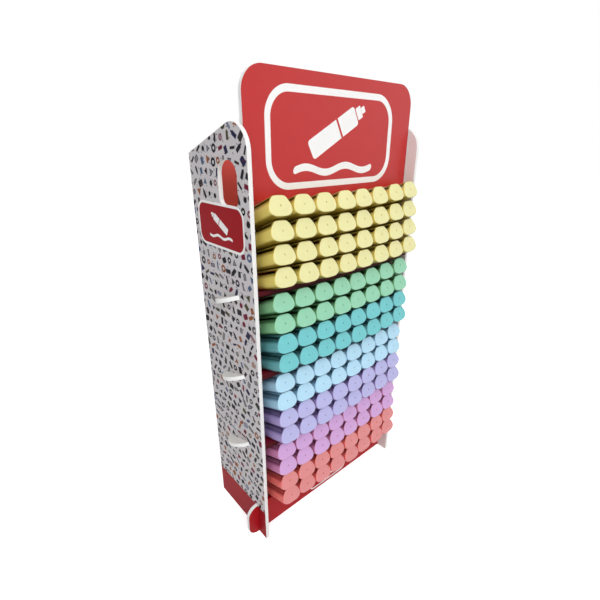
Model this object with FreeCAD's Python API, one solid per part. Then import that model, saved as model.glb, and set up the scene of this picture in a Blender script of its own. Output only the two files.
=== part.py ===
import FreeCAD, Part
import math
import os

from FreeCAD import Placement, Rotation, Vector

# Counter-top display stand of slotted boards, filled with four shelves of highlighter pens.
# Millimetres. X runs across the stand, Y from front to back, Z up.
# The pieces are drawn with Y = 0 at the front edges of the side panels. At the end all are moved
# so that the origin is on the floor, below the middle of the whole object's outline.

# Boards
board_t = 4.0              # thickness of every board
fit_gap = 0.1              # clearance where one board butts against another
slot_gap = 0.15            # clearance round a tab in its slot

# Side panels
stand_width = 223.5        # over the outer faces of the side panels
side_rear_height = 414.5
side_top_slope = 18.3      # degrees, the top edge rises towards the front
side_corner_r = 21.5       # round front corner of the top edge

# Hand hole in each side panel
hole_front = 16.0          # from the panel's front edge to the hole
hole_width = 30.0
hole_drop = 41.0           # from the panel's rear corner down to the hole's lower edge
hole_height = 36.7
hole_top_r = 12.0
hole_bottom_r = 6.0

# Header panel
header_setback = 12.0      # behind the front edges of the side panels
header_rise = 63.0         # above the rear corners of the side panels
header_over_pens = 0.8     # clearance over the highest pens
header_side_gap = 1.6      # to each side panel
header_corner_r = 20.0

# Kick panel with its ears
kick_setback = 14.2
ear_reach = 13.0           # how far an ear stands out of a side panel
ear_height = 40.0
ear_corner_r = 12.0

# Back panel
back_drop = 1.0            # below the rear corners of the side panels

# Shelves, numbered from the top
shelf_count = 4
tabbed_shelves = 3         # the lowest shelf has no tabs
lowest_shelf = 48.9        # height of its top face at the side panels' front edge line
top_room = 26.0            # from one pitch above the top shelf to the side panels' rear corners
shelf_tilt = 19.0          # degrees, front edge up
shelf_setback = 1.5
shelf_sag = 3.2            # bow of the loaded board at mid span
tab_centre = 44.0          # behind the front edge line, measured level
tab_chord = 40.0
tab_reach = 11.5

# Highlighters
per_row = 8
rows_per_shelf = 4
row_play = 17.7            # free width left beside a row of pens
top_shelf_spread = 0.95    # added to the pitch on the top shelf, where the pens stand looser
row_shift = 1.5            # the rows sit a little right of the middle
top_shelf_shift = 1.75     # and those on the top shelf a little further
pen_side_gap = 0.7         # between neighbours in a row
stack_room = 4.9           # above a stack, taken up by the lean of its upper rows
row_lean = 1.5             # degrees, each higher row leans back this much more
pen_length = 105.0
rear_play = 0.8            # between the hindmost pens and the back panel
pen_gap = 0.05             # between rows, and under the lowest row
face_reach = 13.2          # lowest row's cap faces in front of the side panels
row_creep = 2.0            # each higher row lies this much further back
cap_length = 54.0
cap_rim = 2.2              # solid front end of the cap, before the clip's slit
clip_length = 43.0
clip_t = 1.5
clip_gap = 1.9
barrel_step = 1.8          # the barrel is this much slimmer than the cap on each side
barrel_inset = 0.5         # and lies this much inside it above and below

# Right half of an outline from the top down, as shares of the half width and half height
cap_corners = [(0.46, 1.0), (0.8, 0.42), (1.0, -0.2), (0.93, -0.68), (0.5, -1.0)]
barrel_corners = [(0.5, 1.0), (1.0, 0.0), (0.5, -1.0)]

inner_half = stand_width / 2 - board_t
outer_half = stand_width / 2
tilt = math.radians(shelf_tilt)
hole_bottom = side_rear_height - hole_drop
header_top = side_rear_height + header_rise
back_top = side_rear_height - back_drop
shelf_pitch = (side_rear_height - top_room - lowest_shelf) / shelf_count
pen_pitch = (2 * inner_half - row_play) / per_row
pen_width = pen_pitch - pen_side_gap
pen_height = (shelf_pitch * math.cos(tilt) - board_t - stack_room) / rows_per_shelf
body_height = pen_height - clip_t - clip_gap
barrel_width = pen_width - 2 * barrel_step
barrel_height = body_height - 2 * barrel_inset
top_row_tilt = tilt + math.radians((rows_per_shelf - 1) * row_lean)
top_row_reach = face_reach - (rows_per_shelf - 1) * row_creep
barrel_top = pen_height / 2 - clip_t - clip_gap - barrel_inset
pens_rear = pen_length * math.cos(top_row_tilt) + barrel_top * math.sin(top_row_tilt) - top_row_reach
back_front_face = pens_rear + rear_play
side_depth = back_front_face + board_t


def rounded_wire(corners):
    """Closed wire through corners given as (point, radius), each corner rounded by an arc."""
    count = len(corners)
    starts = []
    ends = []
    edges = []
    for i in range(count):
        point, radius = corners[i]
        to_last = (corners[i - 1][0] - point).normalize()
        to_next = (corners[(i + 1) % count][0] - point).normalize()
        half_angle = to_last.getAngle(to_next) / 2
        run = radius / math.tan(half_angle)
        start = point + to_last * run
        end = point + to_next * run
        starts.append(start)
        ends.append(end)
        if radius > 0:
            inward = (to_last + to_next).normalize()
            centre = point + inward * (radius / math.sin(half_angle))
            edges.append(Part.Arc(start, centre - inward * radius, end).toShape())
        else:
            edges.append(None)
    outline = []
    for i in range(count):
        if edges[i] is not None:
            outline.append(edges[i])
        leave = ends[i]
        arrive = starts[(i + 1) % count]
        if leave.distanceToPoint(arrive) > 1e-6:
            outline.append(Part.LineSegment(leave, arrive).toShape())
    return Part.Wire(outline)


def board(corners, push):
    """Flat board: a rounded outline pushed through its thickness."""
    return Part.Face(rounded_wire(corners)).extrude(push)


def box_between(low, high):
    size = high - low
    return Part.makeBox(size.x, size.y, size.z, low)


def shelf_height(number):
    """Top face of a shelf, at the front edge line of the side panels."""
    return lowest_shelf + (shelf_count - number) * shelf_pitch


def shelf_place(number):
    """Frame of a shelf: X across, Y down its slope to the back, Z square to its top face."""
    return Placement(Vector(0, 0, shelf_height(number)), Rotation(Vector(1, 0, 0), -shelf_tilt))


def side_panel(inner_x, outward):
    """Side panel from its inner face, pushed outward (+1 right, -1 left)."""
    front_height = side_rear_height + side_depth * math.tan(math.radians(side_top_slope))
    outline = [
        (Vector(inner_x, 0, 0), 0),
        (Vector(inner_x, side_depth, 0), 0),
        (Vector(inner_x, side_depth, side_rear_height), 0),
        (Vector(inner_x, 0, front_height), side_corner_r),
    ]
    push = Vector(outward * board_t, 0, 0)
    panel = board(outline, push)
    hole_back = hole_front + hole_width
    hole = [
        (Vector(inner_x, hole_front, hole_bottom), hole_bottom_r),
        (Vector(inner_x, hole_back, hole_bottom), hole_bottom_r),
        (Vector(inner_x, hole_back, hole_bottom + hole_height), hole_top_r),
        (Vector(inner_x, hole_front, hole_bottom + hole_height), hole_top_r),
    ]
    panel = panel.cut(board(hole, push))
    for number in range(1, tabbed_shelves + 1):
        panel = panel.cut(tab_slot(number, inner_x, outward))
    notch = box_between(
        Vector(min(inner_x, inner_x + push.x), kick_setback - slot_gap, 0),
        Vector(max(inner_x, inner_x + push.x), kick_setback + board_t + slot_gap, ear_height + slot_gap),
    )
    return panel.cut(notch)


def tab_slot(number, inner_x, outward):
    centre = tab_centre / math.cos(tilt)
    half = tab_chord / 2 + slot_gap
    slot = box_between(
        Vector(min(inner_x, inner_x + outward * board_t), centre - half, -board_t - slot_gap),
        Vector(max(inner_x, inner_x + outward * board_t), centre + half, slot_gap),
    )
    slot.Placement = shelf_place(number)
    return slot


def header_bottom():
    """Just over the highest pens of the top shelf, where they pass under the header."""
    lines = []
    for column in range(per_row):
        place = pen_place(1, rows_per_shelf - 1, column)
        front_top = place.multVec(Vector(0, 0, pen_height / 2))
        along = place.Rotation.multVec(Vector(0, 1, 0))
        lines.append(front_top.z + along.z * (header_setback - front_top.y) / along.y)
    return max(lines) + header_over_pens


def header_panel():
    half = inner_half - header_side_gap
    low = header_bottom()
    outline = [
        (Vector(-half, header_setback, low), 0),
        (Vector(half, header_setback, low), 0),
        (Vector(half, header_setback, header_top), header_corner_r),
        (Vector(-half, header_setback, header_top), header_corner_r),
    ]
    return board(outline, Vector(0, board_t, 0))


def kick_panel():
    """Low front board up to the undersides of the lowest pens. Its ears pass the side panels."""
    top = lowest_shelf - (kick_setback + board_t) * math.tan(tilt) - shelf_sag / math.cos(tilt) - fit_gap
    tip = outer_half + ear_reach
    right = [
        (Vector(tip, kick_setback, 0), ear_corner_r),
        (Vector(tip, kick_setback, ear_height), ear_corner_r),
        (Vector(inner_half, kick_setback, ear_height), 0),
        (Vector(inner_half, kick_setback, top), 0),
    ]
    left = [(Vector(-point.x, point.y, point.z), radius) for point, radius in reversed(right)]
    return board(right + left, Vector(0, board_t, 0))


def back_panel():
    half = inner_half - fit_gap
    outline = [
        (Vector(-half, back_front_face, 0), 0),
        (Vector(half, back_front_face, 0), 0),
        (Vector(half, back_front_face, back_top), 0),
        (Vector(-half, back_front_face, back_top), 0),
    ]
    return board(outline, Vector(0, board_t, 0))


def shelf_tab(outward):
    """Half-moon tab on one end of a shelf, in the shelf's frame."""
    root_x = outward * (inner_half - fit_gap)
    wall_x = outward * outer_half
    tip_x = outward * (outer_half + tab_reach)
    centre = tab_centre / math.cos(tilt)
    front = centre - tab_chord / 2
    rear = centre + tab_chord / 2
    edges = [
        Part.LineSegment(Vector(wall_x, front, 0), Vector(root_x, front, 0)).toShape(),
        Part.LineSegment(Vector(root_x, front, 0), Vector(root_x, rear, 0)).toShape(),
        Part.LineSegment(Vector(root_x, rear, 0), Vector(wall_x, rear, 0)).toShape(),
        Part.Arc(Vector(wall_x, rear, 0), Vector(tip_x, centre, 0), Vector(wall_x, front, 0)).toShape(),
    ]
    return Part.Face(Part.Wire(edges)).extrude(Vector(0, 0, -board_t))


def bow_at(x):
    """How far a shelf lies below its ends at X."""
    return shelf_sag * (1 - (x / inner_half) ** 2)


def shelf(number):
    """Sloping board bowed by its load. The upper ones have a half-moon tab at each end.

    The lowest one starts behind the kick panel.
    """
    tabbed = number <= tabbed_shelves
    half = inner_half - fit_gap
    behind_kick = kick_setback + board_t + fit_gap + (board_t + shelf_sag) * math.sin(tilt)
    front = (shelf_setback if tabbed else behind_kick) / math.cos(tilt)
    rear = (back_front_face - fit_gap) / math.cos(tilt)
    low = -shelf_sag
    edges = [
        Part.Arc(Vector(-half, front, 0), Vector(0, front, low), Vector(half, front, 0)).toShape(),
        Part.LineSegment(Vector(half, front, 0), Vector(half, front, -board_t)).toShape(),
        Part.Arc(
            Vector(half, front, -board_t), Vector(0, front, low - board_t), Vector(-half, front, -board_t)
        ).toShape(),
        Part.LineSegment(Vector(-half, front, -board_t), Vector(-half, front, 0)).toShape(),
    ]
    solid = Part.Face(Part.Wire(edges)).extrude(Vector(0, rear - front, 0))
    if tabbed:
        solid = solid.fuse([shelf_tab(-1), shelf_tab(1)]).removeSplitter()
    solid.Placement = shelf_place(number)
    return solid


def closed_outline(corners, width, height):
    """Outline in X and Z from the corners of its right half, mirrored to the left."""
    right = [Vector(width / 2 * across, 0, height / 2 * up) for across, up in corners]
    return right + [Vector(-point.x, 0, point.z) for point in reversed(right)]


def prism(points, start, length):
    loop = [Vector(p.x, start, p.z) for p in points]
    loop.append(loop[0])
    return Part.Face(Part.makePolygon(loop)).extrude(Vector(0, length, 0))


def pen_cap():
    """Cap with its face at Y = 0 and its length along Y. A slit parts the clip from the body."""
    outline = closed_outline(cap_corners, pen_width, pen_height)
    cap = prism(outline, 0, cap_length)
    clip_under = pen_height / 2 - clip_t
    body_top = clip_under - clip_gap
    slit = box_between(Vector(-pen_width, cap_rim, body_top), Vector(pen_width, cap_length, clip_under))
    behind_clip = box_between(
        Vector(-pen_width, clip_length, body_top), Vector(pen_width, cap_length, pen_height)
    )
    return cap.cut([slit, behind_clip])


def pen_barrel():
    """Barrel from the cap's open end to the pen's rear end."""
    outline = closed_outline(barrel_corners, barrel_width, barrel_height)
    barrel = prism(outline, cap_length, pen_length - cap_length)
    barrel.translate(Vector(0, 0, (body_height - pen_height) / 2))
    return barrel


def row_place(level):
    """Middle of a row's cap faces down the shelf's slope and above the shelf, and the row's lean.

    The rows lean about one line, square above the end of the lowest row's clips.
    """
    lean = math.radians(level * row_lean)
    pivot_slope = clip_length - (face_reach + (pen_gap + pen_height / 2) * math.sin(tilt)) / math.cos(tilt)
    pivot_lift = pen_gap + sum(
        (pen_height + pen_gap) / math.cos(math.radians(below * row_lean)) for below in range(level)
    )
    middle_slope = pivot_slope + pen_height / 2 * math.sin(lean)
    middle_lift = pivot_lift + pen_height / 2 * math.cos(lean)
    middle_y = middle_slope * math.cos(tilt) + middle_lift * math.sin(tilt)
    ahead = (middle_y + face_reach - level * row_creep) / math.cos(tilt + lean)
    return middle_slope - ahead * math.cos(lean), middle_lift + ahead * math.sin(lean), lean


def pen_place(number, level, column):
    """Placement of one pen: its shelf, its level above the shelf (0 lowest) and its column."""
    pitch, shift = pen_pitch, row_shift
    if number == 1:
        pitch += top_shelf_spread
        shift += top_shelf_shift
    x = shift + (column - (per_row - 1) / 2) * pitch
    roll = math.degrees(math.atan(2 * shelf_sag * x / inner_half ** 2))
    slope_y, lift, lean = row_place(level)
    turn = Rotation(Vector(1, 0, 0), -math.degrees(lean)) * Rotation(Vector(0, 1, 0), -roll)
    local = Placement(Vector(x, slope_y, lift - bow_at(x)), turn)
    return shelf_place(number).multiply(local)


def row_of(piece, number, level):
    copies = []
    for column in range(per_row):
        copy = piece.copy()
        copy.Placement = pen_place(number, level, column)
        copies.append(copy)
    return Part.makeCompound(copies)


def build():
    nodes = {
        "side_panel_left": side_panel(-inner_half, -1),
        "side_panel_right": side_panel(inner_half, 1),
        "header_panel": header_panel(),
        "kick_panel": kick_panel(),
        "back_panel": back_panel(),
    }
    for number in range(1, shelf_count + 1):
        nodes[f"shelf_{number}"] = shelf(number)
    cap = pen_cap()
    barrel = pen_barrel()
    for number in range(1, shelf_count + 1):
        for level in range(rows_per_shelf):
            row = number * rows_per_shelf - level
            nodes[f"caps_row_{row:02d}"] = row_of(cap, number, level)
            nodes[f"barrels_row_{row:02d}"] = row_of(barrel, number, level)
    return nodes


pieces = build()
outline_box = Part.makeCompound(list(pieces.values())).BoundBox
to_origin = Vector(-outline_box.Center.x, -outline_box.Center.y, -outline_box.ZMin)
os.makedirs("parts", exist_ok=True)
for name, shape in pieces.items():
    shape.translate(to_origin)
    shape.exportStep(f"parts/{name}.step")
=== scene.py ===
import math
import random

import bpy
from mathutils import Matrix, Vector


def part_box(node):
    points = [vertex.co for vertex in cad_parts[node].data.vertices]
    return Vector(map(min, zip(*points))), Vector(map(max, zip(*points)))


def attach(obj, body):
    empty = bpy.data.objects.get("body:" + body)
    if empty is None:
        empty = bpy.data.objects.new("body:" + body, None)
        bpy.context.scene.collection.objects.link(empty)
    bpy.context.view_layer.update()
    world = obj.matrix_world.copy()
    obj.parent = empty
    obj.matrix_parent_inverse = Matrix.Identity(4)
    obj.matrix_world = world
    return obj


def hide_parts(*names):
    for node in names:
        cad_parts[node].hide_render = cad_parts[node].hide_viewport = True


MM = 0.001
DRAW_SEED = 11

# Sizes in millimetres that the frame's boxes don't give, as in the part's source
SHELF_TILT = math.radians(19.0)
SHELF_SETBACK = 1.5
SHELF_SAG = 3.2
SHELF_PITCH = 84.9
SHELF_COUNT = 4
ROWS_PER_SHELF = 4
PENS_PER_ROW = 8
PEN_PITCH = 24.725
TOP_SHELF_SPREAD = 0.95
ROW_SHIFT = 1.5
TOP_SHELF_SHIFT = 1.75
ROW_LEAN = math.radians(1.5)
PEN_WIDTH = 24.025
PEN_HEIGHT = 17.844
PEN_LENGTH = 105.0
PEN_GAP = 0.05
FACE_REACH = 13.2
ROW_CREEP = 2.0
CAP_LENGTH = 54.0
CAP_RIM = 2.2
CLIP_LENGTH = 43.0
CLIP_THICKNESS = 1.5
CLIP_GAP = 1.9
BARREL_WIDTH = 20.425
BARREL_HEIGHT = 13.444
BARREL_DROP = 1.7

# Detail that only the visible pens have, in millimetres. The corners are shares of half the
# width and height, and a little fuller at the top than the solid's.
CAP_CORNERS = ((0.52, 1.0), (0.84, 0.42), (1.0, -0.2), (0.93, -0.68), (0.5, -1.0))
CAP_CORNER_RUN = 1.5       # how far from a corner its rounding starts
CAP_CORNER_LIMIT = 0.45    # and the share of a side that it takes at most
CAP_SMOOTHING = 3
CAP_EDGE_RADIUS = 1.0
CAP_EDGE_STEPS = 5
CAP_END_INSET = 0.4
FACE_DIMPLE = ((0.5, 0.55), (0.0, 0.85))                # depth and radius
FACE_RING = ((0.0, 3.5), (0.12, 3.0), (0.0, 2.5))       # depth and inset from the outline
SLIT_EXTRA = 0.6           # how much deeper the slit under the clip is cut
SLIT_OVERRUN = 1.0         # how far the cuts reach past the cap's end
BARREL_POINTS = 40
BARREL_SQUARENESS = 0.86
BARREL_COVERED = 3.0       # length inside the cap
BARREL_STATIONS = (        # distance from the rear end, and inset
    (14.0, 0.0),
    (13.7, 0.35),
    (13.0, 0.35),
    (12.7, 0.0),
    (2.0, 0.25),
    (0.8, 0.9),
    (0.0, 2.4),
)
SHARP_ANGLE = math.radians(32)
SEAT_JITTER = 0.35         # sideways, and twice that in depth
TURN_JITTER = math.radians(0.5)

# Printed fields, measured on the boards from the side panels' front edges and the floor
HEADER_FRAME_HALF = (81.0, 40.6)
HEADER_FRAME_MIDDLE = (-4.75, 425.6)
HEADER_FRAME_RADIUS = 25.0
HEADER_LINE = 5.6
BADGE_MIDDLE = (48.8, 354.0)
BADGE_HALF = (39.5, 20.5)
BADGE_RADIUS = 11.0
BADGE_LINE = 2.3
FOOT_BAND = 39.4
KICK_FRAME_MIDDLE = (1.2, 18.2)
KICK_FRAME_HALF = (33.4, 15.0)
KICK_FRAME_RADIUS = 9.0
KICK_LINE = 2.0
ICON_CELL = 9.4
ICON_DRIFT = 1.2           # how far a shape may lie from its cell's middle
ICON_ZOOM = (0.62, 0.92)   # factor on the coordinates: a smaller one draws a larger shape
ICON_RIM = 0.55            # line round the icons that have a pale middle
PALE_ICONS = 0.2           # their share
SPECK_CELL = 4.7
SPECK_SHARE = 0.38
ROW_STAGGER = 0.37         # in cells
SIDE_SEED = 3.0            # these set the random numbers of sides, specks and second draws apart
SPECK_SEED = 9.0
SECOND_SEED = 40.0
HEADER_MOTIF = 1.3         # sizes of the marker motif
BADGE_MOTIF = 0.5
KICK_MOTIF = 0.42

# Materials of a board, and how far a normal has to point along its axis to belong to a face
LOW_FACE, HIGH_FACE, CUT_EDGE, PRINTED_EDGE = range(4)
FACING_LIMIT = 0.9

# How far a pen's normal points forward or up the shelf's slope where a tone starts and is full: the
# painted lit tone of the end faces, and the painted shade under the pens and on their shoulders
LIT_FACE_RANGE = (0.6, 0.95)
SHADED_UNDER_RANGE = (-0.55, -0.85)
SHADED_SHOULDER_START = (0.42, 0.58)
SHADED_SHOULDER_END = (0.95, 0.8)

# Camera, solved from the photograph
IMAGE_SIDE = 600
SENSOR = 36.0
FOCAL_PIXELS = 387.47
PRINCIPAL_POINT = (300.4, 306.8)
CAMERA_YAW = math.radians(40.78)
CAMERA_PITCH = math.radians(22.82)
CAMERA_ROLL = math.radians(0.10)
CAMERA_PLACE = (-284.15, -260.7, 422.0)   # from the side panels' front edges and the floor

# Lamps: name, place, side and power, in metres and watts, all aimed at one point
AREA_LIGHTS = (
    ("key", (-0.54, -1.5, 1.57), 1.0, 19.0),
    ("side", (-1.56, -0.9, 1.28), 1.0, 9.0),
    ("fill", (1.3, -1.4, 0.9), 1.2, 3.5),
    ("top", (0.0, -0.3, 2.2), 1.2, 5.5),
    ("back", (0.6, 1.7, 1.2), 1.2, 9.0),
)
LIGHT_TARGET = (0.0, 0.0, 0.24)
WORLD_STRENGTH = 0.23

# Floor, in metres. Its glow makes up what the lamps leave short of white, so it grows outwards.
FLOOR_HALF_SIDE = 6.0
FLOOR_DROP = 0.0005
FLOOR_GLOW = (0.6, 0.86)
FLOOR_GLOW_RANGE = (350.0, 1750.0)        # from the middle, in millimetres

# Linear tones
WHITE = (1.0, 1.0, 1.0, 1.0)
BLACK = (0.0, 0.0, 0.0, 1.0)
FLOOR_TONES = ((0.86, 0.86, 0.86, 1.0), (0.8, 0.8, 0.8, 1.0))

# Colours, with 0 to 255 for each channel. A pen has a paler tone for its face, which is painted
# light, and a deeper one for its flanks, which is painted shade; both stand for one plastic colour.
PEN_COLOURS = {
    "pen_yellow": ((237, 233, 173), (226, 208, 112)),
    "pen_green": ((153, 217, 184), (134, 192, 142)),
    "pen_turquoise": ((118, 207, 211), (102, 168, 173)),
    "pen_blue": ((190, 231, 254), (163, 204, 227)),
    "pen_lilac": ((192, 191, 237), (171, 153, 206)),
    "pen_pink": ((218, 173, 227), (210, 138, 182)),
    "pen_coral": ((230, 146, 146), (234, 113, 107)),
}
ROWS_OF_COLOUR = (
    ("pen_yellow", 4),
    ("pen_green", 2),
    ("pen_turquoise", 2),
    ("pen_blue", 2),
    ("pen_lilac", 2),
    ("pen_pink", 2),
    ("pen_coral", 2),
)
PRINT_RED = (193, 41, 40)
KICK_RED = (178, 25, 34)
# The back panel's red is its print brightened with painted light, for the light that its front face
# inside the stand does not get
BACK_RED_PAINTED_LIGHT = (255, 104, 98)
BADGE_RED = (160, 24, 34)
PRINT_WHITE = (254, 253, 252)
PRINT_GREY = (214, 209, 212)
SHELF_RED = (156, 30, 52)
# The shelves' front edges: red print darkened with painted shade for the slot between the pens
# where they sit
SHELF_EDGE_RED_PAINTED_SHADE = (74, 14, 22)
TAB_WHITE = (242, 240, 234)
CUT_EDGE_WHITE = (250, 250, 249)
BARE_WHITE = (234, 230, 229)
FIBRE_GREY = (206, 200, 198)
# Painted shade where the stacked pens face each other: the flank tone squared and scaled down
PAINTED_GAP_SHADE_SHARE = 0.42           # of the flank tone's square, for the tone between stacked pens
ICON_COLOURS = (
    (28, 22, 28),
    (112, 26, 50),
    (32, 30, 66),
    (24, 24, 26),
    (146, 88, 52),
    (30, 28, 36),
    (46, 42, 44),
    (80, 98, 128),
    (20, 18, 22),
    (72, 70, 46),
    (34, 26, 42),
)


def linear(colour):
    """Linear RGBA of an sRGB colour given in 0 to 255."""
    channels = []
    for value in colour:
        share = value / 255
        channels.append(share / 12.92 if share <= 0.04045 else ((share + 0.055) / 1.055) ** 2.4)
    return (*channels, 1.0)


class Shader:
    """One material, whose nodes are written as formulas."""

    def __init__(self, name):
        self.material = bpy.data.materials.new(name)
        self.material.use_nodes = True
        self.tree = self.material.node_tree
        self.surface = self.tree.nodes["Principled BSDF"]

    def feed(self, socket, value):
        if isinstance(value, bpy.types.NodeSocket):
            self.tree.links.new(value, socket)
        else:
            socket.default_value = value

    def math(self, operation, *values, clamp=False):
        node = self.tree.nodes.new("ShaderNodeMath")
        node.operation = operation
        node.use_clamp = clamp
        for socket, value in zip(node.inputs, values):
            self.feed(socket, value)
        return node.outputs[0]

    def mix(self, share, first, second):
        node = self.tree.nodes.new("ShaderNodeMix")
        node.data_type = "RGBA"
        self.feed(node.inputs[0], share)
        self.feed(node.inputs[6], first)
        self.feed(node.inputs[7], second)
        return node.outputs[2]

    def place(self, offset=(0, 0, 0)):
        """X, Y and Z on the object in millimetres, counted from an offset in metres."""
        where = self.tree.nodes.new("ShaderNodeTexCoord").outputs["Object"]
        parts = self.tree.nodes.new("ShaderNodeSeparateXYZ")
        self.feed(parts.inputs[0], where)
        return [
            self.math("MULTIPLY", self.math("SUBTRACT", parts.outputs[i], offset[i]), 1 / MM)
            for i in range(3)
        ]

    def along(self, direction):
        """How far the surface's normal points along a direction, 1 when it does so fully."""
        node = self.tree.nodes.new("ShaderNodeVectorMath")
        node.operation = "DOT_PRODUCT"
        self.feed(node.inputs[0], self.tree.nodes.new("ShaderNodeNewGeometry").outputs["Normal"])
        node.inputs[1].default_value = direction
        return node.outputs["Value"]

    def vector(self, x, y, z=0.0):
        node = self.tree.nodes.new("ShaderNodeCombineXYZ")
        for socket, value in zip(node.inputs, (x, y, z)):
            self.feed(socket, value)
        return node.outputs[0]

    def noise(self, vector, scale, detail=3.0, roughness=0.5):
        node = self.tree.nodes.new("ShaderNodeTexNoise")
        self.feed(node.inputs["Vector"], vector)
        node.inputs["Scale"].default_value = scale
        node.inputs["Detail"].default_value = detail
        node.inputs["Roughness"].default_value = roughness
        return node.outputs[0]

    def dice(self, vector):
        """Three even random numbers for each whole-number place."""
        node = self.tree.nodes.new("ShaderNodeTexWhiteNoise")
        node.noise_dimensions = "3D"
        self.feed(node.inputs["Vector"], vector)
        parts = self.tree.nodes.new("ShaderNodeSeparateColor")
        self.feed(parts.inputs[0], node.outputs["Color"])
        return [parts.outputs[i] for i in range(3)]

    def span(self, value, low, high):
        """A value from 0 to 1 laid out between low and high."""
        return self.math("MULTIPLY_ADD", value, high - low, low)

    def step(self, value, start, end):
        """Rises from 0 at start to 1 at end, and stays there."""
        run = end - start
        return self.math("MULTIPLY_ADD", value, 1 / run, -start / run, clamp=True)

    def bump(self, height, distance, strength=1.0):
        node = self.tree.nodes.new("ShaderNodeBump")
        node.inputs["Strength"].default_value = strength
        node.inputs["Distance"].default_value = distance
        self.feed(node.inputs["Height"], height)
        self.feed(self.surface.inputs["Normal"], node.outputs[0])

    def length(self, u, v):
        squares = [self.math("MULTIPLY", value, value) for value in (u, v)]
        return self.math("SQRT", self.math("ADD", *squares))

    def turned(self, u, v, angle):
        """Coordinates turned by an angle."""
        cosine = self.math("COSINE", angle)
        sine = self.math("SINE", angle)
        across = self.math("ADD", self.math("MULTIPLY", u, cosine), self.math("MULTIPLY", v, sine))
        up = self.math("SUBTRACT", self.math("MULTIPLY", v, cosine), self.math("MULTIPLY", u, sine))
        return across, up

    def moved(self, u, v, middle_u, middle_v):
        return self.math("SUBTRACT", u, middle_u), self.math("SUBTRACT", v, middle_v)

    def field(self, u, v, half_u, half_v, radius):
        """Distance to a rounded rectangle round the origin, negative inside."""
        past_u = self.math("SUBTRACT", self.math("ABSOLUTE", u), half_u - radius)
        past_v = self.math("SUBTRACT", self.math("ABSOLUTE", v), half_v - radius)
        outside = self.length(*(self.math("MAXIMUM", past, 0.0) for past in (past_u, past_v)))
        within = self.math("MINIMUM", self.math("MAXIMUM", past_u, past_v), 0.0)
        return self.math("SUBTRACT", self.math("ADD", outside, within), radius)

    def line(self, distance, width):
        """A line of some width along the edge of a shape, inside it."""
        middle = self.math("ADD", distance, width / 2)
        return self.math("SUBTRACT", self.math("ABSOLUTE", middle), width / 2)

    def joined(self, *distances):
        """Distance to the nearest of several shapes."""
        result = distances[0]
        for distance in distances[1:]:
            result = self.math("MINIMUM", result, distance)
        return result

    def ink(self, distance, softness=0.25):
        """1 inside a shape and 0 outside it, with a soft edge."""
        return self.math("MULTIPLY_ADD", distance, -1 / softness, 0.5, clamp=True)


def finish_surface(shader, colour, roughness, specular=0.5):
    shader.feed(shader.surface.inputs["Base Color"], colour)
    shader.feed(shader.surface.inputs["Roughness"], roughness)
    shader.surface.inputs["Specular IOR Level"].default_value = specular
    return shader.material


def print_finish(shader, vector, colour, gloss=0.42, specular=0.4):
    """Laminated print: faint mottling, a satin face and the slight unevenness of the board."""
    mottle = shader.span(shader.noise(vector, 0.035), 0.0, 0.07)
    shade = shader.mix(mottle, colour, BLACK)
    roughness = shader.span(shader.noise(vector, 0.12), gloss - 0.06, gloss + 0.06)
    shader.bump(shader.noise(vector, 0.25, 4.0), 0.00012, 0.35)
    return finish_surface(shader, shade, roughness, specular)


def plain_print(name, colour, specular=0.4):
    shader = Shader(name)
    x, y, z = shader.place()
    return print_finish(shader, shader.vector(x, y, z), linear(colour), specular=specular)


def marker_motif(shader, u, v, size):
    """A slanting marker pen over a wavy stroke, as one distance, in millimetres at size 1."""

    def part(u, v, *sizes):
        return shader.field(u, v, *(value * size for value in sizes))

    across, up = shader.turned(u, v, math.radians(28))
    up = shader.math("SUBTRACT", up, 5.0 * size)
    barrel = part(across, up, 25.0, 6.6, 2.4)
    from_seam = shader.math("ABSOLUTE", shader.math("SUBTRACT", across, 6.0 * size))
    barrel = shader.math("MAXIMUM", barrel, shader.math("SUBTRACT", 0.9 * size, from_seam))
    neck = part(*shader.moved(across, up, 28.5 * size, 0.0), 2.6, 4.2, 0.8)
    nib = part(*shader.moved(across, up, 33.2 * size, 0.0), 1.9, 2.2, 0.5)
    swing = shader.math("SINE", shader.math("MULTIPLY", u, 0.16 / size))
    wave = shader.math("MULTIPLY", swing, 2.0 * size)
    rise = shader.math("ADD", shader.math("SUBTRACT", v, wave), 19.5 * size)
    stroke = part(u, rise, 40.0, 2.4, 2.3)
    return shader.joined(barrel, neck, nib, stroke)


def framed_print(name, colour, middle, half, radius, line, motif, gloss, specular):
    """Coloured face with a white outlined field and the marker motif in it."""
    shader = Shader(name)
    x, y, z = shader.place()
    u, v = shader.moved(x, z, *middle)
    outline = shader.line(shader.field(u, v, *half, radius), line)
    white = shader.ink(shader.joined(outline, marker_motif(shader, u, v, motif)))
    shade = shader.mix(white, linear(colour), linear(PRINT_WHITE))
    return print_finish(shader, shader.vector(x, y, z), shade, gloss, specular)


def header_print():
    return framed_print(
        "header_print",
        PRINT_RED,
        HEADER_FRAME_MIDDLE,
        HEADER_FRAME_HALF,
        HEADER_FRAME_RADIUS,
        HEADER_LINE,
        HEADER_MOTIF,
        gloss=0.38,
        specular=0.4,
    )


def kick_print():
    return framed_print(
        "kick_print",
        KICK_RED,
        KICK_FRAME_MIDDLE,
        KICK_FRAME_HALF,
        KICK_FRAME_RADIUS,
        KICK_LINE,
        KICK_MOTIF,
        gloss=0.42,
        specular=0.1,
    )


def chosen(shader, roll, options):
    """One of several values, picked by an even random number."""
    result = options[0]
    for i, option in enumerate(options[1:], start=1):
        past = shader.math("GREATER_THAN", roll, i / len(options))
        step = shader.math("MULTIPLY", shader.math("SUBTRACT", option, result), past)
        result = shader.math("ADD", result, step)
    return result


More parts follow.
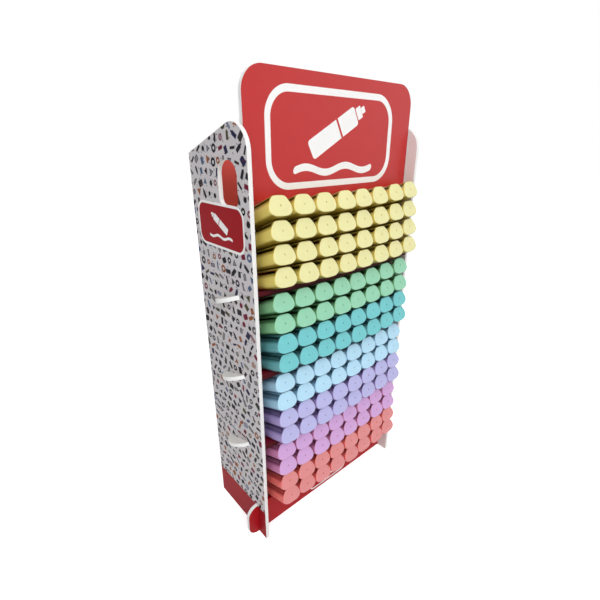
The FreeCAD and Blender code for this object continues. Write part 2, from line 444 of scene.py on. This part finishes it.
def cells(shader, u, v, side, seed):
    """Staggered square cells: place in the cell and two sets of random numbers for it."""
    row = shader.math("FLOOR", shader.math("DIVIDE", v, side))
    stagger = shader.math("MULTIPLY", row, ROW_STAGGER)
    shifted = shader.math("ADD", shader.math("DIVIDE", u, side), stagger)
    column = shader.math("FLOOR", shifted)
    across = shader.math("SUBTRACT", shader.math("FRACT", shifted), 0.5)
    local_u = shader.math("MULTIPLY", across, side)
    middle_v = shader.math("MULTIPLY", shader.math("ADD", row, 0.5), side)
    local_v = shader.math("SUBTRACT", v, middle_v)
    first = shader.dice(shader.vector(column, row, seed))
    second = shader.dice(shader.vector(column, row, shader.math("ADD", seed, SECOND_SEED)))
    return local_u, local_v, first, second


def icon_shapes(shader, u, v):
    """Small shapes of the builder's own, up to 7 mm long before they are scaled, as distances."""
    tip = shader.field(*shader.moved(u, v, 0.0, 3.0), 0.6, 1.1, 0.4)
    pen = shader.joined(shader.field(u, v, 1.3, 2.6, 0.35), tip)
    from_circle = shader.math("ABSOLUTE", shader.math("SUBTRACT", shader.length(u, v), 1.7))
    ring = shader.math("SUBTRACT", from_circle, 0.75)
    note = shader.field(u, v, 1.9, 2.5, 0.35)
    aside = shader.math("MULTIPLY", shader.math("ABSOLUTE", u), 0.866)
    slope = shader.math("ADD", aside, shader.math("MULTIPLY", v, 0.5))
    below = shader.math("MULTIPLY", v, -1.0)
    triangle = shader.math("SUBTRACT", shader.math("MAXIMUM", slope, below), 1.5)
    bar = shader.field(u, v, 0.95, 3.1, 0.5)
    disc = shader.math("SUBTRACT", shader.length(u, v), 1.8)
    return [pen, ring, note, triangle, pen, bar, disc, note]


def icon_colour(shader, roll):
    ramp = shader.tree.nodes.new("ShaderNodeValToRGB")
    ramp.color_ramp.interpolation = "CONSTANT"
    stops = ramp.color_ramp.elements
    while len(stops) < len(ICON_COLOURS):
        stops.new(1.0)
    for i, colour in enumerate(ICON_COLOURS):
        stops[i].position = i / len(ICON_COLOURS)
        stops[i].color = linear(colour)
    shader.feed(ramp.inputs[0], roll)
    return ramp.outputs[0]


def scattered(shader, place, first):
    """Coordinates drifted and turned by a cell's random numbers."""
    drift = [shader.span(roll, -ICON_DRIFT, ICON_DRIFT) for roll in first[:2]]
    u, v = shader.moved(*place, *drift)
    return shader.turned(u, v, shader.span(first[2], 0.0, 2 * math.pi))


def side_print(front):
    """Side panel's outer face: scattered small shapes, a red foot band and a red badge."""
    shader = Shader("side_print")
    x, y, z = shader.place((0.0, front, 0.0))
    seed = shader.math("MULTIPLY", shader.math("SIGN", x), SIDE_SEED)
    colour = linear(PRINT_GREY)

    *place, first, second = cells(shader, y, z, ICON_CELL, seed)
    u, v = scattered(shader, place, first)
    zoom = shader.span(second[2], *ICON_ZOOM)
    u, v = shader.math("MULTIPLY", u, zoom), shader.math("MULTIPLY", v, zoom)
    icon = chosen(shader, second[0], icon_shapes(shader, u, v))
    tone = icon_colour(shader, second[1])
    inner = shader.ink(shader.math("ADD", icon, ICON_RIM))
    pale_tone = shader.mix(0.35, tone, linear(PRINT_GREY))
    picked = shader.math("GREATER_THAN", first[0], 1 - PALE_ICONS)
    paled = shader.math("MULTIPLY", inner, picked)
    tone = shader.mix(paled, tone, pale_tone)
    colour = shader.mix(shader.ink(icon, 0.35), colour, tone)

    seed = shader.math("ADD", seed, SPECK_SEED)
    *place, first, second = cells(shader, y, z, SPECK_CELL, seed)
    speck = shader.field(*scattered(shader, place, first), 0.35, 1.0, 0.3)
    present = shader.math("GREATER_THAN", second[0], 1 - SPECK_SHARE)
    shown = shader.math("MULTIPLY", shader.ink(speck, 0.3), present)
    colour = shader.mix(shown, colour, icon_colour(shader, second[1]))

    u, v = shader.moved(y, z, *BADGE_MIDDLE)
    badge = shader.field(u, v, *BADGE_HALF, BADGE_RADIUS)
    colour = shader.mix(shader.ink(badge), colour, linear(PRINT_WHITE))
    within = shader.ink(shader.math("ADD", badge, BADGE_LINE))
    colour = shader.mix(within, colour, linear(BADGE_RED))
    motif = shader.ink(marker_motif(shader, u, v, BADGE_MOTIF))
    colour = shader.mix(motif, colour, linear(PRINT_WHITE))

    band = shader.ink(shader.math("SUBTRACT", z, FOOT_BAND))
    colour = shader.mix(band, colour, linear(BADGE_RED))
    return print_finish(shader, shader.vector(x, y, z), colour, gloss=0.5, specular=0.06)


def cut_edge():
    """Bare cut edge of the board: white foam with fine streaks and small pits."""
    shader = Shader("cut_edge")
    x, y, z = shader.place()
    streaks = shader.noise(shader.vector(x, y, z), 1.6, 4.0, 0.7)
    grey = shader.span(streaks, 0.0, 0.16)
    colour = shader.mix(grey, linear(CUT_EDGE_WHITE), linear(FIBRE_GREY))
    shader.bump(streaks, 0.0002, 0.5)
    return finish_surface(shader, colour, 0.75, 0.25)


def bare_face():
    """Unprinted board face: off-white liner with faint fibres."""
    shader = Shader("bare_face")
    x, y, z = shader.place()
    fibres = shader.noise(shader.vector(x, y, shader.math("MULTIPLY", z, 0.3)), 0.6, 5.0, 0.6)
    grey = shader.span(fibres, 0.0, 0.25)
    colour = shader.mix(grey, linear(BARE_WHITE), linear(FIBRE_GREY))
    shader.bump(fibres, 0.00015, 0.4)
    return finish_surface(shader, colour, 0.62, 0.3)


def shelf_face(outer_half):
    """Shelf's flat faces: red print between the side panels, white board on the tabs outside."""
    shader = Shader("shelf_face")
    x, y, z = shader.place()
    short = shader.math("SUBTRACT", outer_half, shader.math("ABSOLUTE", x))
    colour = shader.mix(shader.ink(short), linear(SHELF_RED), linear(TAB_WHITE))
    return print_finish(shader, shader.vector(x, y, z), colour, gloss=0.5)


def pen_plastic(slot, lit_face_tone, shaded_flank_tone):
    """Moulded pen plastic: satin, with faint flow marks. Painted light makes the end faces pale,
    and painted shade makes the flanks deeper and deepest where the stacked pens face each other."""
    shader = Shader(slot)
    x, y, z = shader.place()
    vector = shader.vector(x, shader.math("MULTIPLY", y, 0.4), z)
    flow = shader.span(shader.noise(vector, 0.05), 0.0, 0.12)
    ahead = shader.along((0.0, -math.cos(SHELF_TILT), math.sin(SHELF_TILT)))
    up = shader.along((0.0, math.sin(SHELF_TILT), math.cos(SHELF_TILT)))
    lit_face_share = shader.step(ahead, *LIT_FACE_RANGE)
    under = shader.step(up, *SHADED_UNDER_RANGE)
    above = shader.step(up, *SHADED_SHOULDER_START)
    shaded_shoulder = shader.math("MULTIPLY", above, shader.step(up, *SHADED_SHOULDER_END))
    # Painted light and shade: pale holds the lit tone of the end faces, the flanks get the deeper
    # shaded tone, and undersides and shoulders get a painted shade darker still
    flank = linear(shaded_flank_tone)
    painted_gap_shade = (*(PAINTED_GAP_SHADE_SHARE * value * value for value in flank[:3]), 1.0)
    pale = shader.mix(flow, linear(lit_face_tone), flank)
    shade = shader.mix(shader.math("MAXIMUM", under, shaded_shoulder), flank, painted_gap_shade)
    shade = shader.mix(lit_face_share, shade, pale)
    roughness = shader.span(shader.noise(vector, 0.3), 0.36, 0.46)
    shader.bump(shader.noise(vector, 0.9, 2.0), 0.00008, 0.3)
    material = finish_surface(shader, shade, roughness, 0.42)
    shader.surface.inputs["Subsurface Weight"].default_value = 0.12
    shader.surface.inputs["Subsurface Radius"].default_value = (1.0, 0.8, 0.6)
    shader.surface.inputs["Subsurface Scale"].default_value = 0.002
    return material


def dress_board(node, axis, faces, edge):
    """Gives a board's faces their materials: faces holds one for each side of an axis."""
    low, high = faces
    mesh = node.data
    mesh.materials.clear()
    for material in (low, high, edge):
        mesh.materials.append(material)
    for polygon in mesh.polygons:
        facing = polygon.normal.dot(axis)
        if facing < -FACING_LIMIT:
            polygon.material_index = LOW_FACE
        elif facing > FACING_LIMIT:
            polygon.material_index = HIGH_FACE
        else:
            polygon.material_index = CUT_EDGE


def dress_boards(nodes, front, outer_half):
    """Materials of all boards; outer_half is where the side panels end, in millimetres."""
    across, depth = Vector((1, 0, 0)), Vector((0, 1, 0))
    shelf_normal = Matrix.Rotation(-SHELF_TILT, 3, "X") @ Vector((0, 0, 1))
    printed = side_print(front)
    bare = bare_face()
    edge = cut_edge()
    header = header_print()
    shelf_red = shelf_face(outer_half)
    # Shelf front edges: red print darkened with painted shade
    shelf_edge_painted_shade = plain_print("shelf_edge_painted_shade", SHELF_EDGE_RED_PAINTED_SHADE, 0.1)
    dress_board(nodes["side_panel_left"], across, (printed, bare), edge)
    dress_board(nodes["side_panel_right"], across, (bare, printed), edge)
    dress_board(nodes["header_panel"], depth, (header, bare), edge)
    kick = nodes["kick_panel"]
    dress_board(kick, depth, (kick_print(), bare), edge)
    for polygon in kick.data.polygons:
        if polygon.normal.z > FACING_LIMIT and abs(polygon.center.x) < outer_half * MM / 2:
            polygon.material_index = LOW_FACE
    # Back panel's front: red print brightened with painted light
    back = plain_print("back_print_painted_light", BACK_RED_PAINTED_LIGHT)
    dress_board(nodes["back_panel"], depth, (back, bare), edge)
    for number in range(1, SHELF_COUNT + 1):
        node = nodes[f"shelf_{number}"]
        dress_board(node, shelf_normal, (shelf_red, shelf_red), edge)
        node.data.materials.append(shelf_edge_painted_shade)
        for polygon in node.data.polygons:
            if polygon.material_index == CUT_EDGE and abs(polygon.center.x) < outer_half * MM:
                polygon.material_index = PRINTED_EDGE


def barrel_section():
    """Points (x, z) of the barrel's section, a little squarer than an ellipse."""
    turns = [2 * math.pi * i / BARREL_POINTS for i in range(BARREL_POINTS)]

    def squarer(share):
        return math.copysign(abs(share) ** BARREL_SQUARENESS, share)

    return [
        (BARREL_WIDTH / 2 * squarer(math.cos(turn)), BARREL_HEIGHT / 2 * squarer(math.sin(turn)))
        for turn in turns
    ]


def cap_section():
    """The cap's outline with its corners rounded, starting at the right of its top."""
    half = [(PEN_WIDTH / 2 * across, PEN_HEIGHT / 2 * up) for across, up in CAP_CORNERS]
    corners = [Vector(point) for point in (*half, *((-x, z) for x, z in reversed(half)))]
    points = []
    for i, corner in enumerate(corners):
        for other in (corners[i - 1], corners[(i + 1) % len(corners)]):
            away = other - corner
            points.append(corner + away * min(CAP_CORNER_LIMIT, CAP_CORNER_RUN / away.length))
    for _ in range(CAP_SMOOTHING):
        cut = []
        for i, point in enumerate(points):
            following = points[(i + 1) % len(points)]
            cut.append(point.lerp(following, 0.25))
            cut.append(point.lerp(following, 0.75))
        points = cut
    widest = max(point.x for point in points)
    return [(PEN_WIDTH / 2 * point.x / widest, point.y) for point in reversed(points)]


def inset_section(section, inset):
    """A section made smaller by the inset on each side, in width and in height."""
    half_width = max(x for x, z in section)
    half_height = max(z for x, z in section)
    shrink_x = (half_width - inset) / half_width
    shrink_z = (half_height - inset) / half_height
    return [(x * shrink_x, z * shrink_z) for x, z in section]


def lofted(name, rings):
    """Closed mesh through rings of (y, section), in metres, with a fan at each end."""
    count = len(rings[0][1])
    vertices = [(x * MM, y * MM, z * MM) for y, section in rings for x, z in section]
    faces = []
    for ring in range(len(rings) - 1):
        for i in range(count):
            following = (i + 1) % count
            low, high = ring * count, (ring + 1) * count
            faces.append((low + i, low + following, high + following, high + i))
    for ring, order in ((0, -1), (len(rings) - 1, 1)):
        middle = len(vertices)
        vertices.append((0.0, rings[ring][0] * MM, 0.0))
        for i in range(count):
            corner = ring * count
            pair = (corner + i, corner + (i + 1) % count)
            faces.append((*pair[::order], middle))
    mesh = bpy.data.meshes.new(name)
    mesh.from_pydata(vertices, [], faces)
    mesh.validate()
    mesh.update()
    return mesh


def cut_boxes(mesh, boxes):
    """The mesh with boxes, given as low and high corners in millimetres, cut out of it."""
    solid = bpy.data.objects.new("cut_solid", mesh)
    bpy.context.scene.collection.objects.link(solid)
    cutters = []
    for low, high in boxes:
        x0, y0, z0 = (value * MM for value in low)
        x1, y1, z1 = (value * MM for value in high)
        corners = [(x, y, z) for x in (x0, x1) for y in (y0, y1) for z in (z0, z1)]
        sides = [(0, 1, 3, 2), (4, 6, 7, 5), (0, 4, 5, 1), (2, 3, 7, 6), (0, 2, 6, 4), (1, 5, 7, 3)]
        box = bpy.data.meshes.new("cutter")
        box.from_pydata(corners, [], sides)
        cutter = bpy.data.objects.new("cutter", box)
        bpy.context.scene.collection.objects.link(cutter)
        cutters.append(cutter)
        modifier = solid.modifiers.new("cut", "BOOLEAN")
        modifier.operation = "DIFFERENCE"
        modifier.solver = "EXACT"
        modifier.object = cutter
    depsgraph = bpy.context.evaluated_depsgraph_get()
    result = bpy.data.meshes.new_from_object(solid.evaluated_get(depsgraph))
    for helper in [solid, *cutters]:
        bpy.data.objects.remove(helper)
    return result


def cap_mesh():
    """Cap with its face at Y = 0: rounded edge, ring and dimple on the face, clip on top."""
    section = cap_section()
    turns = [math.atan2(z, x) for x, z in section]

    def circle(radius):
        return [(radius * math.cos(turn), radius * math.sin(turn)) for turn in turns]

    rings = [(depth, circle(radius)) for depth, radius in FACE_DIMPLE]
    rings.extend((depth, inset_section(section, inset)) for depth, inset in FACE_RING)
    for step in range(CAP_EDGE_STEPS + 1):
        turn = math.pi / 2 * step / CAP_EDGE_STEPS
        inset = CAP_EDGE_RADIUS * (1 - math.sin(turn))
        rings.append((CAP_EDGE_RADIUS * (1 - math.cos(turn)), inset_section(section, inset)))
    rings.append((CAP_LENGTH - CAP_END_INSET, section))
    rings.append((CAP_LENGTH, inset_section(section, CAP_END_INSET)))
    clip_bottom = PEN_HEIGHT / 2 - CLIP_THICKNESS
    body_top = clip_bottom - CLIP_GAP - SLIT_EXTRA
    rear = CAP_LENGTH + SLIT_OVERRUN
    slit = ((-PEN_WIDTH, CAP_RIM, body_top), (PEN_WIDTH, rear, clip_bottom))
    behind_clip = ((-PEN_WIDTH, CLIP_LENGTH, body_top), (PEN_WIDTH, rear, PEN_HEIGHT))
    return cut_boxes(lofted("cap", rings), [slit, behind_clip])


def barrel_mesh():
    """Barrel behind the cap, with a ring groove before its rounded end."""
    section = barrel_section()
    stations = [(CAP_LENGTH - BARREL_COVERED, 0.0)]
    stations.extend((PEN_LENGTH - to_end, inset) for to_end, inset in BARREL_STATIONS)
    rings = [(y, inset_section(section, inset)) for y, inset in stations]
    mesh = lofted("barrel", rings)
    mesh.transform(Matrix.Translation((0, 0, -BARREL_DROP * MM)))
    return mesh


def row_place(level):
    """Middle of a row's faces along and above the shelf's slope, and its lean, as in the part."""
    lean = level * ROW_LEAN
    cosine, sine = math.cos(SHELF_TILT), math.sin(SHELF_TILT)
    pivot_slope = CLIP_LENGTH - (FACE_REACH + (PEN_GAP + PEN_HEIGHT / 2) * sine) / cosine
    rises = [(PEN_HEIGHT + PEN_GAP) / math.cos(i * ROW_LEAN) for i in range(level)]
    pivot_lift = PEN_GAP + sum(rises)
    middle_slope = pivot_slope + PEN_HEIGHT / 2 * math.sin(lean)
    middle_lift = pivot_lift + PEN_HEIGHT / 2 * math.cos(lean)
    middle_y = middle_slope * cosine + middle_lift * sine
    ahead = (middle_y + FACE_REACH - level * ROW_CREEP) / math.cos(SHELF_TILT + lean)
    return middle_slope - ahead * math.cos(lean), middle_lift + ahead * math.sin(lean), lean


def pen_matrix(number, level, column, front, draw):
    """Place of one pen on a shelf, as in the part's source, with a trace of unevenness."""
    pitch, shift = PEN_PITCH, ROW_SHIFT
    if number == 1:
        pitch += TOP_SHELF_SPREAD
        shift += TOP_SHELF_SHIFT
    inner_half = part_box("side_panel_right")[0].x / MM
    x = shift + (column - (PENS_PER_ROW - 1) / 2) * pitch
    bow = -SHELF_SAG * (1 - (x / inner_half) ** 2)
    roll = math.atan(2 * SHELF_SAG * x / inner_half**2)
    slope_y, lift, lean = row_place(level)
    top_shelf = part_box("shelf_1")[1].z / MM + SHELF_SETBACK * math.tan(SHELF_TILT)
    height = top_shelf - (number - 1) * SHELF_PITCH
    aside = draw.uniform(-SEAT_JITTER, SEAT_JITTER)
    deeper = draw.uniform(-SEAT_JITTER, SEAT_JITTER) * 2
    turned = draw.uniform(-TURN_JITTER, TURN_JITTER)
    uneven = Matrix.Translation((aside, deeper, 0)) @ Matrix.Rotation(turned, 4, "Z")
    place = (
        Matrix.Translation((0, front / MM, height))
        @ Matrix.Rotation(-SHELF_TILT, 4, "X")
        @ Matrix.Translation((x, slope_y, lift + bow))
        @ Matrix.Rotation(-lean, 4, "X")
        @ Matrix.Rotation(-roll, 4, "Y")
        @ uneven
    )
    place.translation *= MM
    return place


def row_piece(name, base, places, material):
    """One object holding a copy of a mesh at each place."""
    vertices, faces = [], []
    for place in places:
        start = len(vertices)
        vertices.extend(place @ vertex.co for vertex in base.vertices)
        faces.extend(tuple(start + i for i in polygon.vertices) for polygon in base.polygons)
    mesh = bpy.data.meshes.new(name)
    mesh.from_pydata(vertices, [], faces)
    mesh.materials.append(material)
    mesh.shade_smooth()
    mesh.set_sharp_from_angle(angle=SHARP_ANGLE)
    piece = bpy.data.objects.new(name, mesh)
    bpy.context.scene.collection.objects.link(piece)
    return piece


def add_pens(front):
    """All rows from the top one down, each in place of the row with the same number."""
    draw = random.Random(DRAW_SEED)
    cap, barrel = cap_mesh(), barrel_mesh()
    row = 0
    for slot, row_count in ROWS_OF_COLOUR:
        material = pen_plastic(slot, *PEN_COLOURS[slot])
        for _ in range(row_count):
            row += 1
            number = (row - 1) // ROWS_PER_SHELF + 1
            level = ROWS_PER_SHELF - 1 - (row - 1) % ROWS_PER_SHELF
            places = [
                pen_matrix(number, level, column, front, draw) for column in range(PENS_PER_ROW)
            ]
            for kind, base in (("caps", cap), ("barrels", barrel)):
                piece = row_piece(f"pen_{kind}_{row:02d}", base, places, material)
                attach(piece, "root")
                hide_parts(f"{kind}_row_{row:02d}")


def add_camera(front):
    forward = Vector(
        (
            math.sin(CAMERA_YAW) * math.cos(CAMERA_PITCH),
            math.cos(CAMERA_YAW) * math.cos(CAMERA_PITCH),
            -math.sin(CAMERA_PITCH),
        )
    )
    level = Vector((math.cos(CAMERA_YAW), -math.sin(CAMERA_YAW), 0))
    down = forward.cross(level)
    right = level * math.cos(CAMERA_ROLL) + down * math.sin(CAMERA_ROLL)
    down = down * math.cos(CAMERA_ROLL) - level * math.sin(CAMERA_ROLL)
    data = bpy.data.cameras.new("camera")
    data.sensor_width = SENSOR
    data.lens = FOCAL_PIXELS / IMAGE_SIDE * SENSOR
    data.shift_x = 0.5 - PRINCIPAL_POINT[0] / IMAGE_SIDE
    data.shift_y = PRINCIPAL_POINT[1] / IMAGE_SIDE - 0.5
    camera = bpy.data.objects.new("camera", data)
    turn = Matrix((right, -down, -forward)).transposed().to_4x4()
    place = Vector(CAMERA_PLACE) * MM + Vector((0, front, 0))
    camera.matrix_world = Matrix.Translation(place) @ turn
    bpy.context.scene.collection.objects.link(camera)
    bpy.context.scene.camera = camera


def add_area_light(name, place, size, power):
    data = bpy.data.lights.new(name, "AREA")
    data.shape = "SQUARE"
    data.size = size
    data.energy = power
    light = bpy.data.objects.new(name, data)
    direction = Vector(LIGHT_TARGET) - Vector(place)
    light.rotation_euler = direction.to_track_quat("-Z", "Y").to_euler()
    light.location = place
    light.visible_camera = False
    bpy.context.scene.collection.objects.link(light)


def seen_background(tree):
    """1 where a camera, glossy or transmission ray looks, else 0."""
    rays = tree.nodes.new("ShaderNodeLightPath")
    total = rays.outputs["Is Camera Ray"]
    for name in ("Is Glossy Ray", "Is Transmission Ray"):
        node = tree.nodes.new("ShaderNodeMath")
        node.operation = "MAXIMUM"
        tree.links.new(total, node.inputs[0])
        tree.links.new(rays.outputs[name], node.inputs[1])
        total = node.outputs[0]
    return total


def add_world():
    """White light all round, and plain white where the background is seen."""
    world = bpy.data.worlds.new("studio")
    world.use_nodes = True
    bpy.context.scene.world = world
    tree = world.node_tree
    light = tree.nodes["Background"]
    light.inputs["Color"].default_value = WHITE
    light.inputs["Strength"].default_value = WORLD_STRENGTH
    seen = tree.nodes.new("ShaderNodeBackground")
    seen.inputs["Color"].default_value = WHITE
    mix = tree.nodes.new("ShaderNodeMixShader")
    tree.links.new(seen_background(tree), mix.inputs[0])
    tree.links.new(light.outputs[0], mix.inputs[1])
    tree.links.new(seen.outputs[0], mix.inputs[2])
    tree.links.new(mix.outputs[0], tree.nodes["World Output"].inputs[0])


def add_floor():
    """Pale floor that looks as white as the background and keeps a faint shadow."""
    side = FLOOR_HALF_SIDE
    mesh = bpy.data.meshes.new("floor")
    corners = [(-side, -side, 0), (side, -side, 0), (side, side, 0), (-side, side, 0)]
    mesh.from_pydata(corners, [], [(0, 1, 2, 3)])
    floor = bpy.data.objects.new("floor", mesh)
    floor.location.z = -FLOOR_DROP
    bpy.context.scene.collection.objects.link(floor)
    shader = Shader("floor")
    x, y, z = shader.place()
    grain = shader.span(shader.noise(shader.vector(x, y, z), 0.02), 0.0, 0.05)
    colour = shader.mix(grain, *FLOOR_TONES)
    finish_surface(shader, colour, 0.9, 0.1)
    glow = shader.tree.nodes.new("ShaderNodeEmission")
    glow.inputs["Color"].default_value = WHITE
    away = shader.step(shader.length(x, y), *FLOOR_GLOW_RANGE)
    strength = shader.span(away, *FLOOR_GLOW)
    seen = seen_background(shader.tree)
    shader.feed(glow.inputs["Strength"], shader.math("MULTIPLY", seen, strength))
    total = shader.tree.nodes.new("ShaderNodeAddShader")
    shader.tree.links.new(shader.surface.outputs[0], total.inputs[0])
    shader.tree.links.new(glow.outputs[0], total.inputs[1])
    shader.tree.links.new(total.outputs[0], shader.tree.nodes["Material Output"].inputs[0])
    mesh.materials.append(shader.material)


def add_lights():
    add_world()
    for name, place, size, power in AREA_LIGHTS:
        add_area_light(name, place, size, power)


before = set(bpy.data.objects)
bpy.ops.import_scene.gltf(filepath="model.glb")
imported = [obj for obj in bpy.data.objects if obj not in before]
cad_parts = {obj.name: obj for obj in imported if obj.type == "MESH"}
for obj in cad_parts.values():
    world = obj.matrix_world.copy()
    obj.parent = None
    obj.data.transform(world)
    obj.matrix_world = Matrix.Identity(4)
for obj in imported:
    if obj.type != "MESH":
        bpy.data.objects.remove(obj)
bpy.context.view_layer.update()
front_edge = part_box("side_panel_left")[0].y
panel_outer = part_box("side_panel_right")[1].x / MM
dress_boards(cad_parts, front_edge, panel_outer)
add_pens(front_edge)
add_floor()
add_lights()
add_camera(front_edge)
bpy.context.scene.view_settings.view_transform = "Standard"
